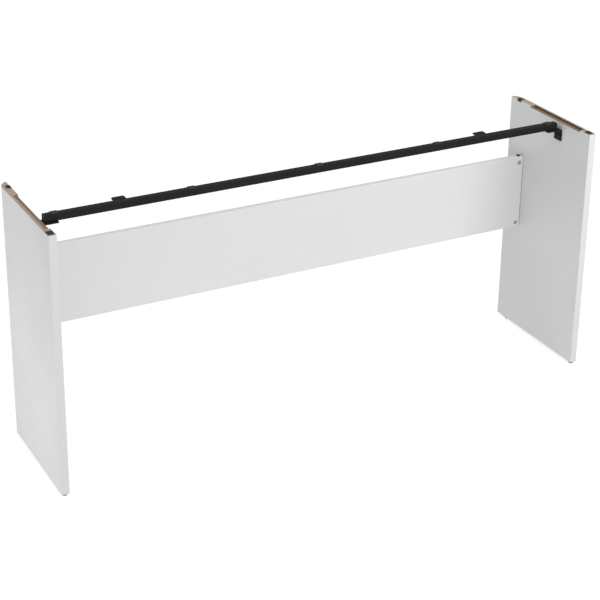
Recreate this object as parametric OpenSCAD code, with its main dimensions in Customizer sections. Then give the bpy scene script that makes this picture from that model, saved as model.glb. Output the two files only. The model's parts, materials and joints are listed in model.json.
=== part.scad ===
// Slab-piano stand: two side panels joined by a back board and a steel support rail.
// Millimetres. X runs left to right, Y front to back, Z up from the floor.
// The origin is on the floor, under the middle of the stand.

/* [Stand] */
// Overall width, outer face to outer face
stand_w = 1310; // [1200:5:1400]
// Overall depth
stand_d = 310; // [290:5:360]
// Height of a side panel, without its glides
panel_h = 584; // [520:1:680]
// Thickness of a side panel
panel_t = 17; // [16:0.5:18]

/* [Side panels] */
// Radius that the outer face turns through at the back edge
back_round_r = 30; // [20:1:60]
// Thickness of the strip on each front edge
front_band_t = 1; // [0.5:0.1:2]
// Width of the outer lip left standing along the rebate
rebate_lip = 6; // [4:0.5:8]
// Depth of the rebate below the panel's top
rebate_depth = 5; // [3:0.5:8]
// Distance from the panel's front to the rebate
rebate_from_front = 37; // [34:1:60]
// Distance from the panel's back to the rebate
rebate_from_back = 80; // [50:1:110]

/* [Panel bumpers] */
// How far every rubber bumper stands above the panel's top
bumper_proud = 1; // [0.5:0.5:3]
// Gap between a bumper and the walls around it
bumper_gap = 0.15; // [0.05:0.05:0.4]
// Front bumper, in a pocket: distance from the panel's front, length, width and pocket depth
front_bumper = [6, 18, 13.5, 3];
// Rear bumper, in a notch: distance from the panel's back, length, width and notch depth
rear_bumper = [24, 16, 9.5, 5];

/* [Back board] */
// Height of the back board with its edge strips
board_h = 184; // [150:1:220]
// Thickness of the back board
board_t = 15; // [14:0.5:18]
// Distance from the stand's front to the board's front face
board_from_front = 245; // [220:1:255]
// Drop from the panel's top to the board's top edge
board_drop = 134; // [90:1:180]
// Joint gap between the board's end and a panel
board_gap = 1; // [0.2:0.1:1.5]
// Thickness of the strips on the board's long edges
board_band_t = 1; // [0.5:0.1:2]

/* [Support rail] */
// Outside width and height of the square tube
rail_size = 16; // [14:0.5:20]
// Wall of the square tube
rail_wall = 1.5; // [1.2:0.1:2]
// Distance from the stand's front to the rail's front face
rail_from_front = 107; // [80:1:150]
// Gap between each end of the rail and the panel beside it
rail_end_gap = 12; // [6:1:20]
// Thickness of the flange on a rail end plug
plug_flange = 1.5; // [1:0.5:3]

/* [Rail bumpers] */
// Number of rubber bumpers along the rail
rail_bumper_count = 5; // [3:1:7]
// Size of a rail bumper along the rail, across it and upwards
rail_bumper_size = [17, 14, 1.5];
// Distance from a rail end to the middle of the nearest bumper
rail_bumper_inset = 23; // [15:1:60]
// Drop of the rail bumpers below the tops of the panels' bumpers
rail_bumper_drop = 2.5; // [0:0.5:5]

/* [Fixing tabs] */
// Distance of the left tab's middle from the stand's middle
left_tab_x = 458; // [380:1:540]
// Distance of the right tab's middle from the stand's middle
right_tab_x = 424; // [380:1:540]
// Width of a tab along the rail
tab_w = 28; // [22:1:40]
// Reach of a tab behind the rail
tab_reach = 15.5; // [14:0.5:24]
// Height of the tab's flange on the back of the rail
tab_flange_h = 13; // [9:0.5:14]
// Plate thickness of a tab
tab_plate = 3; // [2:0.5:4]
// Diameter of the screw hole in a tab
tab_hole_d = 4.5; // [4:0.5:8]

/* [End brackets] */
// Length of the foot that the rail lies on
bracket_foot = 41; // [36:1:60]
// Height of the leg on the panel
bracket_drop = 29; // [26:1:50]
// Width of a bracket, front to back
bracket_w = 26; // [22:1:40]
// Plate thickness of a bracket
bracket_plate = 3; // [2:0.5:4]
// Outside radius of the bracket's bend
bracket_bend_r = 5; // [4.5:0.5:8]

/* [Glides] */
// Height of a glide under the panel
glide_h = 5; // [3:0.5:10]
// Diameter of a glide
glide_d = 12; // [10:0.5:16]
// Distance from the panel's front to the front glide's middle
front_glide_inset = 9; // [7:1:60]
// Distance from the panel's back to the rear glide's middle
rear_glide_inset = 33; // [30:1:80]

/* [Hidden] */

LEFT = -1;
RIGHT = 1;
SIDES = [LEFT, RIGHT];
cut = 1;                    // how far a cutter runs past the face it opens
slide_gap = 0.05;           // radial clearance of pins, nails and threads in their holes
$fn = 64;

front_y = -stand_d / 2;
back_y = stand_d / 2;
outer_x = -stand_w / 2;     // outer face of the left panel; the right side is its mirror image
inner_x = outer_x + panel_t;
panel_top = glide_h + panel_h;
rest_z = panel_top + bumper_proud;
back_arc_y = back_y - sqrt(pow(back_round_r, 2) - pow(back_round_r - panel_t, 2));

board_y = front_y + board_from_front;
board_mid_y = board_y + board_t / 2;
board_end_x = inner_x + board_gap;
board_top = panel_top - board_drop;
board_bottom = board_top - board_h;
board_core_h = board_h - 2 * board_band_t;

cam_d = 10;                 // cam housing
cam_depth = 12.5;
cam_inset = 10;             // cam's middle from the board's end
cam_z = [board_bottom + 10.5, board_top - 16];
bolt_thread_d = 6;
bolt_thread_len = 11;
bolt_neck_d = 4;
bolt_head_d = 5.4;
bolt_head_len = 3;
dowel_d = 8;
dowel_in_panel = 9;
dowel_in_board = 19;
dowel_z = [board_bottom + board_h / 3, board_top - board_h / 3];
edge_plug_x = board_end_x + 9.5;
edge_plug_hole_d = 6;
edge_plug_depth = 7;
edge_plug_cap_d = 10;
edge_plug_rim_h = 1;
edge_plug_dome_h = 2.2;

rail_top = rest_z - rail_bumper_drop - rail_bumper_size[2];
rail_bottom = rail_top - rail_size;
rail_mid_y = front_y + rail_from_front + rail_size / 2;
rail_back_y = rail_mid_y + rail_size / 2;
rail_end_x = inner_x + rail_end_gap;
tube_end_x = rail_end_x + plug_flange;
tube_corner_r = 2;
tube_bore_r = 0.8;
tube_bore = rail_size - 2 * rail_wall;
plug_depth = 10;
plug_wall = 1.6;
rail_bumper_pitch = (-2 * rail_end_x - 2 * rail_bumper_inset) / (rail_bumper_count - 1);
tab_hole_y = rail_back_y + 9;
tab_corner_r = 3;

clamp_x = rail_end_x + 15;  // screw that holds the rail on the bracket's foot
screw_d = 5;
screw_clear_d = 5.5;
screw_head_d = 9;
screw_head_h = 2.6;
insert_d = 8;
insert_len = 12;
bracket_screw_z = rail_bottom - bracket_drop + 12;
bracket_screw_dy = 6.5;
washer_d = 12;
washer_t = 1.2;
rivet_body_d = 7;
rivet_flange_d = 9.5;
rivet_flange_t = 0.8;
rivet_body_len = 8;
nail_d = 2.5;
nail_len = 15;

white = "whitesmoke";
raw_board = "tan";
black_steel = "#303032";
black_rubber = "#1a1a1a";
zinc = "silver";

// ---- shared shapes ----

// Draws a left-hand part on the side asked for.
module on_side(side) mirror([side == RIGHT ? 1 : 0, 0, 0]) children();

// A flat shape in (Y, Z), extruded along X from x0.
module along_x(x0, length) translate([x0, 0, 0]) rotate([90, 0, 90]) linear_extrude(length) children();

// A round bar or hole along X.
module rod_x(x0, y, z, d, length) translate([x0, y, z]) rotate([0, 90, 0]) cylinder(h = length, d = d);

// A rectangle centred on the origin, with round corners.
module rounded_rect(w, h, r) {
    square([w - 2 * r, h], center = true);
    square([w, h - 2 * r], center = true);
    for (x = [-1, 1], y = [-1, 1]) translate([x * (w / 2 - r), y * (h / 2 - r)]) circle(r = r);
}

// A bent angle: its corner is at the origin, one leg runs along +X and the other down.
module angle_profile(reach, drop, plate, bend_r) {
    translate([bend_r, -plate]) square([reach - bend_r, plate]);
    translate([0, -drop]) square([plate, drop - bend_r]);
    translate([bend_r, -bend_r]) intersection() {
        difference() {
            circle(r = bend_r);
            circle(r = bend_r - plate);
        }
        translate([-bend_r, 0]) square(bend_r);
    }
}

// A cross-recessed screw that stands head up on z = 0, its shank below.
module pan_head_screw(length) {
    slot_w = 1.1;
    slot_len = 4.6;
    slot_depth = 1.5;
    crown_h = 1.1;
    translate([0, 0, -length]) cylinder(h = length, d = screw_d - 2 * slide_gap);
    difference() {
        union() {
            cylinder(h = screw_head_h - crown_h, d = screw_head_d);
            translate([0, 0, screw_head_h - crown_h])
                cylinder(h = crown_h, d1 = screw_head_d, d2 = screw_head_d - 3);
        }
        for (a = [0, 90]) rotate([0, 0, a])
            translate([-slot_len / 2, -slot_w / 2, screw_head_h - slot_depth]) cube([slot_len, slot_w, slot_depth + cut]);
    }
}

// ---- side panels ----

module panel_outline() {
    difference() {
        translate([outer_x, front_y + front_band_t]) square([panel_t, stand_d - front_band_t]);
        difference() {
            translate([outer_x - cut, back_arc_y]) square([panel_t + 2 * cut, back_y - back_arc_y + cut]);
            translate([outer_x + back_round_r, back_arc_y]) circle(r = back_round_r, $fn = 180);
        }
    }
}

// Cuts a notch that opens upwards and through the inner face.
module top_notch(y0, length, width, depth)
    translate([inner_x - width, y0, panel_top - depth]) cube([width + cut, length, depth + cut]);

// Cuts a pocket that opens upwards only, midway through the panel's thickness.
module top_pocket(y0, length, width, depth)
    translate([inner_x - panel_t / 2 - width / 2, y0, panel_top - depth]) cube([width, length, depth + cut]);

module panel_cuts() {
    top_notch(front_y + rebate_from_front, stand_d - rebate_from_front - rebate_from_back,
        panel_t - rebate_lip, rebate_depth);
    top_pocket(front_y + front_bumper[0], front_bumper[1], front_bumper[2], front_bumper[3]);
    top_notch(back_y - rear_bumper[0] - rear_bumper[1], rear_bumper[1], rear_bumper[2], rear_bumper[3]);
    for (z = cam_z)
        rod_x(inner_x - bolt_thread_len, board_mid_y, z, bolt_thread_d, bolt_thread_len + cut);
    for (z = dowel_z)
        rod_x(inner_x - dowel_in_panel - slide_gap, board_mid_y, z, dowel_d, dowel_in_panel + cut);
    for (dy = [-bracket_screw_dy, bracket_screw_dy])
        rod_x(inner_x - insert_len - cut, rail_mid_y + dy, bracket_screw_z, insert_d, insert_len + 2 * cut);
    for (y = [front_y + front_glide_inset, back_y - rear_glide_inset])
        translate([outer_x + panel_t / 2, y, glide_h - cut]) cylinder(h = nail_len + 2 * cut, d = nail_d);
}

module side_panel(side) color(white) on_side(side) difference() {
    translate([0, 0, glide_h]) linear_extrude(panel_h) panel_outline();
    panel_cuts();
}

module front_edge_band(side) color(white) on_side(side)
    translate([outer_x, front_y, glide_h]) cube([panel_t, front_band_t, panel_h]);

// A block that fills the space left for it and stands proud of the panel. Its middle is at x, in the left panel.
module panel_bumper(side, x, y0, length, width, depth) color(black_rubber) on_side(side)
    translate([x, y0 + length / 2, panel_top - depth])
        linear_extrude(depth + bumper_proud) rounded_rect(width, length - 2 * bumper_gap, 1);

module front_panel_bumper(side) panel_bumper(side, inner_x - panel_t / 2, front_y + front_bumper[0],
    front_bumper[1], front_bumper[2] - 2 * bumper_gap, front_bumper[3]);

module rear_panel_bumper(side) panel_bumper(side, inner_x - (rear_bumper[2] - bumper_gap) / 2,
    back_y - rear_bumper[0] - rear_bumper[1], rear_bumper[1], rear_bumper[2] - bumper_gap, rear_bumper[3]);

// ---- back board ----

module back_board() color(white) difference() {
    translate([board_end_x, board_y, board_bottom + board_band_t])
        cube([-2 * board_end_x, board_t, board_core_h]);
    for (side = SIDES) on_side(side) {
        for (z = cam_z) {
            translate([board_end_x + cam_inset, board_y - cut, z]) rotate([-90, 0, 0])
                cylinder(h = cam_depth + cut, d = cam_d);
            rod_x(board_end_x - cut, board_mid_y, z, bolt_thread_d, cam_inset + cut);
        }
        for (z = dowel_z) rod_x(board_end_x - cut, board_mid_y, z, dowel_d, dowel_in_board + cut + slide_gap);
        edge_plug_hole();
    }
}

module edge_plug_hole() translate([edge_plug_x, board_mid_y, board_top - edge_plug_depth - cut])
    cylinder(h = edge_plug_depth + 2 * cut, d = edge_plug_hole_d);

module board_edge_band(z0) translate([board_end_x, board_y, z0]) cube([-2 * board_end_x, board_t, board_band_t]);

module board_top_edge_band() color(white) difference() {
    board_edge_band(board_top - board_band_t);
    for (side = SIDES) on_side(side) edge_plug_hole();
}

module board_bottom_edge_band() color(white) board_edge_band(board_bottom);

module board_edge_plugs() color(black_rubber) for (side = SIDES) on_side(side)
    translate([edge_plug_x, board_mid_y, board_top]) {
        translate([0, 0, -edge_plug_depth])
            cylinder(h = edge_plug_depth, d = edge_plug_hole_d - 2 * slide_gap);
        cylinder(h = edge_plug_rim_h, d = edge_plug_cap_d);
        translate([0, 0, edge_plug_rim_h])
            cylinder(h = edge_plug_dome_h, d1 = edge_plug_cap_d - 1, d2 = edge_plug_cap_d - 5);
    }

// ---- knock-down joints between the board and the panels ----

module cam_lock() {
    slot_w = 1.2;
    slot_len = 5;
    slot_depth = 1.8;
    body_len = cam_depth - slide_gap;
    difference() {
        translate([board_end_x + cam_inset, board_y, 0]) rotate([-90, 0, 0])
            cylinder(h = body_len, d = cam_d - 2 * slide_gap);
        for (size = [[slot_len, slot_w], [slot_w, slot_len]])
            translate([board_end_x + cam_inset - size[0] / 2, board_y - cut, -size[1] / 2])
                cube([size[0], slot_depth + cut, size[1]]);
        rod_x(board_end_x, board_mid_y, 0, bolt_head_d + 0.4, cam_inset + bolt_head_len);
    }
}

module cam_locks() color(zinc) for (side = SIDES, z = cam_z) on_side(side) translate([0, 0, z]) cam_lock();

module cam_bolts() color(zinc) for (side = SIDES, z = cam_z) on_side(side) {
    head_x = board_end_x + cam_inset - bolt_head_len / 2;
    rod_x(inner_x - bolt_thread_len + slide_gap, board_mid_y, z,
        bolt_thread_d - 2 * slide_gap, bolt_thread_len - slide_gap);
    rod_x(inner_x - cut, board_mid_y, z, bolt_neck_d, head_x - inner_x + 2 * cut);
    rod_x(head_x, board_mid_y, z, bolt_head_d, bolt_head_len);
}

module alignment_dowels() color(raw_board) for (side = SIDES, z = dowel_z) on_side(side)
    rod_x(inner_x - dowel_in_panel, board_mid_y, z, dowel_d - 2 * slide_gap,
        dowel_in_panel + board_gap + dowel_in_board);

// ---- support rail ----

module support_rail() color(black_steel) difference() {
    along_x(tube_end_x, -2 * tube_end_x) translate([rail_mid_y, rail_top - rail_size / 2]) difference() {
        rounded_rect(rail_size, rail_size, tube_corner_r);
        rounded_rect(tube_bore, tube_bore, tube_bore_r);
    }
    for (side = SIDES) on_side(side) translate([clamp_x, rail_mid_y, rail_bottom - cut])
        cylinder(h = rail_wall + 2 * cut, d = rivet_body_d + 2 * slide_gap);
}

module rail_end_plug(side) color(black_rubber) on_side(side) {
    along_x(rail_end_x, plug_flange) translate([rail_mid_y, rail_top - rail_size / 2])
        rounded_rect(rail_size, rail_size, tube_corner_r);
    along_x(tube_end_x, plug_depth) translate([rail_mid_y, rail_top - rail_size / 2]) difference() {
        rounded_rect(tube_bore - 0.2, tube_bore - 0.2, tube_bore_r);
        rounded_rect(tube_bore - 2 * plug_wall, tube_bore - 2 * plug_wall, tube_bore_r);
    }
}

module rail_bumpers() color(black_rubber) for (i = [0 : rail_bumper_count - 1])
    translate([rail_end_x + rail_bumper_inset + i * rail_bumper_pitch, rail_mid_y, rail_top])
        linear_extrude(rail_bumper_size[2]) rounded_rect(rail_bumper_size[0], rail_bumper_size[1], 1.5);

module rail_tab(mid_x) color(black_steel) translate([mid_x, 0, 0]) difference() {
    intersection() {
        along_x(-tab_w / 2, tab_w) translate([rail_back_y, rail_top])
            angle_profile(tab_reach, tab_flange_h, tab_plate, tab_plate + 1);
        translate([0, rail_back_y + tab_reach / 2 - tab_corner_r, rail_top - rail_size])
            linear_extrude(rail_size + cut) rounded_rect(tab_w, tab_reach + 2 * tab_corner_r, tab_corner_r);
    }
    translate([0, tab_hole_y, rail_top - tab_plate - cut]) cylinder(h = tab_plate + 2 * cut, d = tab_hole_d);
}

// ---- end brackets and their fasteners ----

module end_bracket(side) color(black_steel) on_side(side) difference() {
    translate([inner_x, rail_mid_y + bracket_w / 2, rail_bottom]) rotate([90, 0, 0])
        linear_extrude(bracket_w) angle_profile(bracket_foot, bracket_drop, bracket_plate, bracket_bend_r);
    for (dy = [-bracket_screw_dy, bracket_screw_dy])
        rod_x(inner_x - cut, rail_mid_y + dy, bracket_screw_z, screw_clear_d, bracket_plate + 2 * cut);
    translate([clamp_x, rail_mid_y, rail_bottom - bracket_plate - cut])
        cylinder(h = bracket_plate + 2 * cut, d = screw_clear_d);
}

module bracket_screws() color(black_steel)
    for (side = SIDES, dy = [-bracket_screw_dy, bracket_screw_dy]) on_side(side)
        translate([inner_x + bracket_plate, rail_mid_y + dy, bracket_screw_z]) rotate([0, 90, 0])
            pan_head_screw(bracket_plate + insert_len);

module bracket_inserts() color(zinc)
    for (side = SIDES, dy = [-bracket_screw_dy, bracket_screw_dy]) on_side(side) difference() {
        rod_x(inner_x - insert_len, rail_mid_y + dy, bracket_screw_z, insert_d - 2 * slide_gap, insert_len);
        rod_x(inner_x - insert_len - cut, rail_mid_y + dy, bracket_screw_z, screw_d, insert_len + 2 * cut);
    }

// Draws at each place where the rail is screwed down, with z = 0 at the rail's underside.
module at_clamps() for (side = SIDES) on_side(side) translate([clamp_x, rail_mid_y, rail_bottom]) children();

module rail_clamp_screws() color(black_steel) at_clamps()
    translate([0, 0, -bracket_plate - washer_t]) rotate([180, 0, 0])
        pan_head_screw(bracket_plate + washer_t + rivet_body_len);

module rail_clamp_washers() color(zinc) at_clamps() translate([0, 0, -bracket_plate - washer_t]) difference() {
    cylinder(h = washer_t, d = washer_d);
    translate([0, 0, -cut]) cylinder(h = washer_t + 2 * cut, d = screw_clear_d);
}

module rail_rivet_nuts() color(zinc) at_clamps() difference() {
    union() {
        cylinder(h = rivet_body_len, d = rivet_body_d);
        translate([0, 0, rail_wall]) cylinder(h = rivet_flange_t, d = rivet_flange_d);
    }
    translate([0, 0, -cut]) cylinder(h = rivet_body_len + 2 * cut, d = screw_d);
}

// ---- glides ----

module glide(side, y) color(zinc) on_side(side) translate([outer_x + panel_t / 2, y, 0]) {
    edge_r = 1.8;
    rotate_extrude() {
        square([glide_d / 2 - edge_r, glide_h]);
        translate([0, edge_r]) square([glide_d / 2, glide_h - edge_r]);
        translate([glide_d / 2 - edge_r, edge_r]) circle(r = edge_r);
    }
    cylinder(h = glide_h + nail_len, d = nail_d - 2 * slide_gap);
}

module front_glide(side) glide(side, front_y + front_glide_inset);
module rear_glide(side) glide(side, back_y - rear_glide_inset);

side_panel(LEFT);  // left_side_panel
side_panel(RIGHT);  // right_side_panel
front_edge_band(LEFT);  // left_front_edge_band
front_edge_band(RIGHT);  // right_front_edge_band
front_panel_bumper(LEFT);  // left_front_bumper
rear_panel_bumper(LEFT);  // left_rear_bumper
front_panel_bumper(RIGHT);  // right_front_bumper
rear_panel_bumper(RIGHT);  // right_rear_bumper
back_board();
board_top_edge_band();
board_bottom_edge_band();
board_edge_plugs();
cam_locks();
cam_bolts();
alignment_dowels();
support_rail();
rail_end_plug(LEFT);  // left_rail_end_plug
rail_end_plug(RIGHT);  // right_rail_end_plug
rail_tab(-left_tab_x);  // left_rail_tab
rail_tab(right_tab_x);  // right_rail_tab
rail_bumpers();
end_bracket(LEFT);  // left_end_bracket
end_bracket(RIGHT);  // right_end_bracket
bracket_screws();
bracket_inserts();
rail_clamp_screws();
rail_clamp_washers();
rail_rivet_nuts();
front_glide(LEFT);  // left_front_glide
rear_glide(LEFT);  // left_rear_glide
front_glide(RIGHT);  // right_front_glide
rear_glide(RIGHT);  // right_rear_glide
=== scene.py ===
"""A slab-piano stand, dressed for display.

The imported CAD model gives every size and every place. The classes below soften its edges, add the
moulded, spun and welded detail that the CAD leaves plain, and give each piece its finish.
Lengths are in metres: X runs left to right, Y front to back, Z up from the floor.
"""

import json
import logging
import math
from collections.abc import Callable, Iterable, Mapping
from dataclasses import dataclass, field
from enum import Enum
from typing import ClassVar

import bmesh
import bpy
from mathutils import Matrix, Vector


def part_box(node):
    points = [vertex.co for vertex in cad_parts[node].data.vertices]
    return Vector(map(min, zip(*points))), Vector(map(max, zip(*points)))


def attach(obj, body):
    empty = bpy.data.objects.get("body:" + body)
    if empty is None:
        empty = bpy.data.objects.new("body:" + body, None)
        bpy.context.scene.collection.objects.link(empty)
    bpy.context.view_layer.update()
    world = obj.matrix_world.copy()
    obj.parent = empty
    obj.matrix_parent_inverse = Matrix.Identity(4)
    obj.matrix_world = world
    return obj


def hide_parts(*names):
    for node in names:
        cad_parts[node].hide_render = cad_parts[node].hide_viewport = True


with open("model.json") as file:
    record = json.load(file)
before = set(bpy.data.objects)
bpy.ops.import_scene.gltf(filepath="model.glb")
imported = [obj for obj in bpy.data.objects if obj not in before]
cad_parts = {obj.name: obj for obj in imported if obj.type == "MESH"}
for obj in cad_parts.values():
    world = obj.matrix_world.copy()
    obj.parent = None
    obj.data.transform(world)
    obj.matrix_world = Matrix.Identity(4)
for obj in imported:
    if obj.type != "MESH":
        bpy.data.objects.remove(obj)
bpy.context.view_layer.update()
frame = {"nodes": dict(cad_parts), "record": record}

BODY = "root"
MM = 0.001
LOG = logging.getLogger("piano_stand")

Colour = tuple[float, float, float]
Socket = bpy.types.NodeSocket
EdgeTest = Callable[[bmesh.types.BMEdge], bool]
FaceTest = Callable[[bmesh.types.BMFace], bool]


class Side(Enum):
    """An end of the stand, by its name in the CAD."""

    LEFT = "left"
    RIGHT = "right"

    def node(self, part: str) -> str:
        """The CAD's name for this side's part."""
        return f"{self.value}_{part}"


class Axis(Enum):
    """A direction of the frame, as its place in a vector."""

    X = 0
    Y = 1
    Z = 2


# ---- node drawing ----


class NodePen:
    """Draws nodes and links in one shader tree.

    Attributes:
        tree: the material's or group's node tree.
    """

    def __init__(self, tree: bpy.types.NodeTree) -> None:
        """Starts drawing in a tree.

        Args:
            tree: the node tree to draw in.
        """
        self.tree = tree

    def node(self, kind: str, **settings: object) -> bpy.types.Node:
        """Adds a node.

        Args:
            kind: the node's type name.
            **settings: attributes to set on it.

        Returns:
            The new node.
        """
        made = self.tree.nodes.new(kind)
        for key, value in settings.items():
            setattr(made, key, value)
        return made

    def feed(self, socket: Socket, value: object) -> None:
        """Links a socket into an input, or sets the input to a plain value."""
        if isinstance(value, bpy.types.NodeSocket):
            self.tree.links.new(value, socket)
        else:
            socket.default_value = value

    def maths(self, operation: str, first: object, second: object = 0.0, clamp: bool = False) -> Socket:
        """One step of arithmetic.

        Args:
            operation: the Math node's operation.
            first: its first value or socket.
            second: its second value or socket.
            clamp: whether the result is held between 0 and 1.

        Returns:
            The result's socket.
        """
        made = self.node("ShaderNodeMath", operation=operation, use_clamp=clamp)
        self.feed(made.inputs[0], first)
        self.feed(made.inputs[1], second)
        return made.outputs[0]

    def remap(self, value: Socket, old: tuple[float, float], new: tuple[float, float]) -> Socket:
        """Maps a range of values smoothly onto another, and holds it there.

        Args:
            value: the socket to map.
            old: the range that it comes in.
            new: the range that it goes out in.

        Returns:
            The mapped value's socket.
        """
        made = self.node("ShaderNodeMapRange", interpolation_type="SMOOTHSTEP", clamp=True)
        for socket, number in zip(made.inputs, (value, *old, *new)):
            self.feed(socket, number)
        return made.outputs[0]

    def blend(self, mask: object, low: object, high: object, mode: str = "MIX") -> Socket:
        """Mixes two colours.

        Args:
            mask: 0 gives the low colour, 1 the high one.
            low: colour or socket.
            high: colour or socket.
            mode: the Mix node's blend mode.

        Returns:
            The mixed colour's socket.
        """
        made = self.node("ShaderNodeMix", data_type="RGBA", blend_type=mode, clamp_factor=True)
        self.feed(made.inputs["Factor"], mask)
        self.feed(made.inputs[6], low)
        self.feed(made.inputs[7], high)
        return made.outputs[2]

    def noise(self, place: Socket, scale: object, detail: float = 3.0, roughness: float = 0.55) -> Socket:
        """Fractal noise.

        Args:
            place: where the noise is read.
            scale: its size, in waves to the metre.
            detail: its number of octaves.
            roughness: how strong the finer octaves are.

        Returns:
            The noise value's socket, which centres on 0.5.
        """
        made = self.node("ShaderNodeTexNoise")
        self.feed(made.inputs["Vector"], place)
        self.feed(made.inputs["Scale"], scale)
        self.feed(made.inputs["Detail"], detail)
        self.feed(made.inputs["Roughness"], roughness)
        return made.outputs["Fac"]

    def stretch(self, place: Socket, scale: object) -> Socket:
        """Scales a place by a vector, so that a pattern read there is drawn out along its short axes."""
        made = self.node("ShaderNodeMapping")
        self.feed(made.inputs["Vector"], place)
        self.feed(made.inputs["Scale"], scale)
        return made.outputs["Vector"]

    def parts(self, vector: Socket) -> list[Socket]:
        """The X, Y and Z of a vector, as three sockets."""
        made = self.node("ShaderNodeSeparateXYZ")
        self.feed(made.inputs[0], vector)
        return list(made.outputs)

    def effect(self, effect: type["SharedEffect"], **inputs: object) -> Mapping[str, Socket]:
        """Places a shared effect.

        Args:
            effect: the effect's class.
            **inputs: its inputs' values, by name, with a low line for a space.

        Returns:
            The effect's outputs by name.
        """
        made = self.node("ShaderNodeGroup", node_tree=effect.tree())
        for name, value in inputs.items():
            self.feed(made.inputs[name.replace("_", " ")], value)
        return made.outputs

    def bump(self, height: Socket, depth: float, under: Socket | None = None) -> Socket:
        """Turns a height into a surface normal.

        Args:
            height: the height, from 0 to 1.
            depth: how deep the full height is, in metres.
            under: a normal to build on.

        Returns:
            The bumped normal's socket.
        """
        made = self.node("ShaderNodeBump")
        made.inputs["Distance"].default_value = depth
        self.feed(made.inputs["Height"], height)
        if under is not None:
            self.feed(made.inputs["Normal"], under)
        return made.outputs["Normal"]


# ---- effects that several finishes share ----


class SharedEffect:
    """A shader node group that is built once and placed in each material with its own values."""

    label: ClassVar[str]
    takes: ClassVar[Mapping[str, tuple[str, object]]]
    gives: ClassVar[Mapping[str, str]]

    @classmethod
    def tree(cls) -> bpy.types.NodeTree:
        """The effect's node group, built the first time that it is asked for.

        Returns:
            The group.
        """
        found = bpy.data.node_groups.get(cls.label)
        if found:
            return found
        made = bpy.data.node_groups.new(cls.label, "ShaderNodeTree")
        for name, (kind, default) in cls.takes.items():
            socket = made.interface.new_socket(name=name, in_out="INPUT", socket_type=kind)
            if default is not None:
                socket.default_value = default
        for name, kind in cls.gives.items():
            made.interface.new_socket(name=name, in_out="OUTPUT", socket_type=kind)
        pen = NodePen(made)
        source = pen.node("NodeGroupInput").outputs
        sink = pen.node("NodeGroupOutput").inputs
        for name, socket in cls.draw(pen, source).items():
            pen.feed(sink[name], socket)
        return made

    @classmethod
    def draw(cls, pen: NodePen, source: Mapping[str, Socket]) -> dict[str, Socket]:
        """Draws the effect's nodes.

        Args:
            pen: draws in the group.
            source: the group's inputs by name.

        Returns:
            The socket that feeds each output, by name.
        """
        raise NotImplementedError


VECTOR_IN = ("NodeSocketVector", None)


class FineGrain(SharedEffect):
    """The small relief of a pressed, sprayed or moulded skin: soft lumps under a finer tooth."""

    label = "fine_grain"
    takes = {"Place": VECTOR_IN, "Scale": ("NodeSocketFloat", 800.0), "Tooth": ("NodeSocketFloat", 0.4)}
    gives = {"Height": "NodeSocketFloat"}

    @classmethod
    def draw(cls, pen: NodePen, source: Mapping[str, Socket]) -> dict[str, Socket]:
        """Adds a fine noise to a coarse one. See SharedEffect.draw."""
        lumps = pen.noise(source["Place"], source["Scale"], detail=1.5)
        finer = pen.maths("MULTIPLY", source["Scale"], 3.4)
        tooth = pen.noise(source["Place"], finer, detail=2.0)
        return {"Height": pen.maths("ADD", lumps, pen.maths("MULTIPLY", tooth, source["Tooth"]))}


class ColourDrift(SharedEffect):
    """A colour that wanders a little over the surface, with a wide drift and a fine mottle."""

    label = "colour_drift"
    takes = {
        "Place": VECTOR_IN,
        "Scale": ("NodeSocketFloat", 6.0),
        "Colour": ("NodeSocketColor", (0.8, 0.8, 0.8, 1.0)),
        "Other": ("NodeSocketColor", (0.7, 0.7, 0.7, 1.0)),
    }
    gives = {"Colour": "NodeSocketColor", "Mask": "NodeSocketFloat"}

    @classmethod
    def draw(cls, pen: NodePen, source: Mapping[str, Socket]) -> dict[str, Socket]:
        """Mixes two colours by two noises. See SharedEffect.draw."""
        wide = pen.noise(source["Place"], source["Scale"], detail=2.0)
        fine = pen.noise(source["Place"], pen.maths("MULTIPLY", source["Scale"], 40.0), detail=2.0)
        both = pen.maths("ADD", pen.maths("MULTIPLY", wide, 0.7), pen.maths("MULTIPLY", fine, 0.3))
        mask = pen.remap(both, (0.35, 0.65), (0.0, 1.0))
        return {"Colour": pen.blend(mask, source["Colour"], source["Other"]), "Mask": mask}


class EdgeWear(SharedEffect):
    """A broken mask along outward edges, where a coat rubs through or catches the light."""

    label = "edge_wear"
    takes = {
        "Place": VECTOR_IN,
        "Reach": ("NodeSocketFloat", 0.0006),
        "Scale": ("NodeSocketFloat", 300.0),
        "Amount": ("NodeSocketFloat", 0.5),
    }
    gives = {"Mask": "NodeSocketFloat"}

    @classmethod
    def draw(cls, pen: NodePen, source: Mapping[str, Socket]) -> dict[str, Socket]:
        """Compares a rounded normal with the true one and breaks it up. See SharedEffect.draw."""
        rounded = pen.node("ShaderNodeBevel", samples=4)
        pen.feed(rounded.inputs["Radius"], source["Reach"])
        compare = pen.node("ShaderNodeVectorMath", operation="DOT_PRODUCT")
        pen.feed(compare.inputs[0], rounded.outputs[0])
        pen.feed(compare.inputs[1], pen.node("ShaderNodeNewGeometry").outputs["Normal"])
        edge = pen.remap(pen.maths("SUBTRACT", 1.0, compare.outputs["Value"]), (0.02, 0.2), (0.0, 1.0))
        breaks = pen.remap(pen.noise(source["Place"], source["Scale"]), (0.42, 0.62), (0.0, 1.0))
        worn = pen.maths("MULTIPLY", edge, breaks)
        return {"Mask": pen.maths("MULTIPLY", worn, source["Amount"], clamp=True)}


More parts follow.
